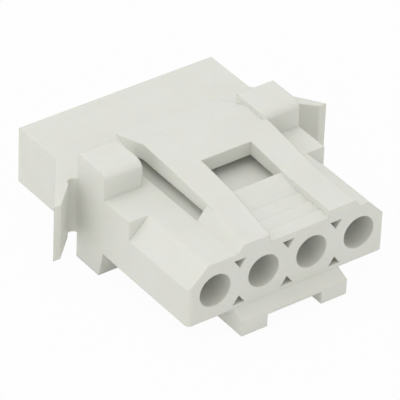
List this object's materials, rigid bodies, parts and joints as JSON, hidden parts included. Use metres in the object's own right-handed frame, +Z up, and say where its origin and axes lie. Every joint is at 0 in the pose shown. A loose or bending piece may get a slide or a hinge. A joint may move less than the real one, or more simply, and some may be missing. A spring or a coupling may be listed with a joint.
{
  "type": "wire to board connector housing",
  "caption": "Moulded nylon cable connector housing: single row of round wire bores, latch strap with window, shoulders, feet and two flared side leaves.",
  "frame": {"origin": "centre of the footprint of the bounding box, at the level of the feet's soles", "axes": "+Z up from the soles, +X along the row of bores, -Y out of the wire bores' mouths, +Y towards the mating end"},
  "size_m": [0.0258, 0.0238, 0.0096],
  "materials": {
    "natural_nylon": "satin, as moulded"
  },
  "bodies": {
    "root": {"housing": "natural_nylon"}
  },
  "joints": []
}
